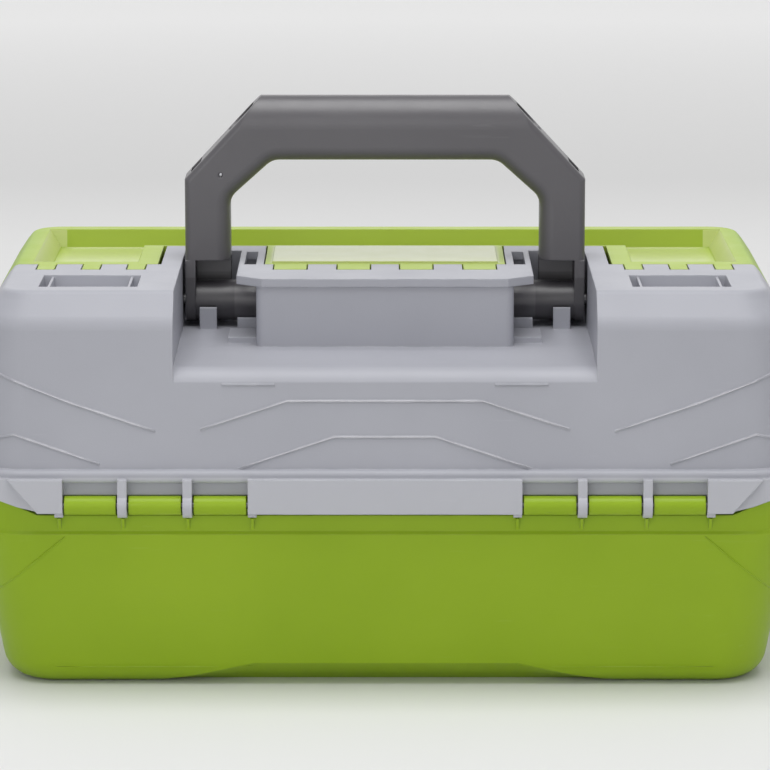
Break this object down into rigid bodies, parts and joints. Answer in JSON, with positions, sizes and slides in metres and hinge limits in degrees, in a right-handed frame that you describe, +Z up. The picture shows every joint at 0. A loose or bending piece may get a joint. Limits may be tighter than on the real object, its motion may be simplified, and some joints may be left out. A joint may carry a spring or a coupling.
{
  "type": "tackle box",
  "caption": "Portable tackle box: tub, two outward-opening lid leaves, linked trays, end latches and a folding carry handle.",
  "frame": {"origin": "middle of the bottom face, on the surface that the box stands on", "axes": "+X along the box, +Y across it from the handled leaf to the plain leaf, +Z up"},
  "size_m": [0.4254, 0.2606, 0.2834],
  "materials": {
    "lime_plastic": "moulded polypropylene, satin with a fine grain, lime green",
    "grey_plastic": "moulded polypropylene, satin with a fine grain, cool light grey",
    "dark_plastic": "moulded plastic, satin, dark grey",
    "tray_plastic": "moulded polypropylene, satin, mid grey",
    "clear_grey_plastic": "thin smooth moulding, light grey",
    "steel": "drawn wire rod, bright"
  },
  "bodies": {
    "base": {"tub": "lime_plastic", "handled_hinge_rod_right": "steel", "handled_hinge_rod_left": "steel", "plain_hinge_rod_right": "steel", "plain_hinge_rod_left": "steel", "handled_arm_root_pins": "dark_plastic", "plain_arm_root_pins": "dark_plastic"},
    "handled_leaf": {"handled_lid_leaf": "grey_plastic", "handle_axle_right": "steel", "handle_axle_left": "steel", "handled_tray_pins": "dark_plastic"},
    "plain_leaf": {"plain_lid_leaf": "lime_plastic", "plain_tray_pins": "dark_plastic", "latch_pin_right": "steel", "latch_pin_left": "steel"},
    "handle": {"carry_handle": "dark_plastic"},
    "handled_tray_body": {"handled_tray": "tray_plastic", "handled_tray_dividers": "clear_grey_plastic", "handled_arm_tip_pins": "dark_plastic"},
    "plain_tray_body": {"plain_tray": "tray_plastic", "plain_tray_dividers": "clear_grey_plastic", "plain_arm_tip_pins": "dark_plastic"},
    "handled_arms": {"handled_tray_arm_right": "dark_plastic", "handled_tray_arm_left": "dark_plastic"},
    "plain_arms": {"plain_tray_arm_right": "dark_plastic", "plain_tray_arm_left": "dark_plastic"},
    "right_latch": {"latch_right": "dark_plastic"},
    "left_latch": {"latch_left": "dark_plastic"}
  },
  "joints": [
    {"name": "handled_leaf_hinge", "type": "hinge", "parent": "base", "child": "handled_leaf", "pos_m": [0, -0.124, 0.0967], "axis": [1, 0, 0], "range_deg": [0, 100]},
    {"name": "plain_leaf_hinge", "type": "hinge", "parent": "base", "child": "plain_leaf", "pos_m": [0, 0.124, 0.0967], "axis": [-1, 0, 0], "range_deg": [0, 100]},
    {"name": "handle_pivot", "type": "hinge", "parent": "handled_leaf", "child": "handle", "pos_m": [0, -0.003, 0.1774], "axis": [1, 0, 0], "range_deg": [0, 90]},
    {"name": "handled_tray_pivot", "type": "hinge", "parent": "handled_leaf", "child": "handled_tray_body", "pos_m": [0, -0.082, 0.1177], "axis": [1, 0, 0], "range_deg": [-100, 0]},
    {"name": "plain_tray_pivot", "type": "hinge", "parent": "plain_leaf", "child": "plain_tray_body", "pos_m": [0, 0.082, 0.1177], "axis": [-1, 0, 0], "range_deg": [-100, 0]},
    {"name": "handled_arm_pivot", "type": "hinge", "parent": "base", "child": "handled_arms", "pos_m": [0, -0.078, 0.0887], "axis": [1, 0, 0], "range_deg": [0, 100]},
    {"name": "plain_arm_pivot", "type": "hinge", "parent": "base", "child": "plain_arms", "pos_m": [0, 0.078, 0.0887], "axis": [-1, 0, 0], "range_deg": [0, 100]},
    {"name": "right_latch_pivot", "type": "hinge", "parent": "plain_leaf", "child": "right_latch", "pos_m": [0.2085, 0.0055, 0.1374], "axis": [0, 0, 1], "range_deg": [0, 100]},
    {"name": "left_latch_pivot", "type": "hinge", "parent": "plain_leaf", "child": "left_latch", "pos_m": [-0.2085, 0.0055, 0.1374], "axis": [0, 0, -1], "range_deg": [0, 100]}
  ],
  "couplings": [
    {"joint": "handled_tray_pivot", "follows": "handled_leaf_hinge", "ratio": -1},
    {"joint": "handled_arm_pivot", "follows": "handled_leaf_hinge", "ratio": 1},
    {"joint": "plain_tray_pivot", "follows": "plain_leaf_hinge", "ratio": -1},
    {"joint": "plain_arm_pivot", "follows": "plain_leaf_hinge", "ratio": 1}
  ]
}
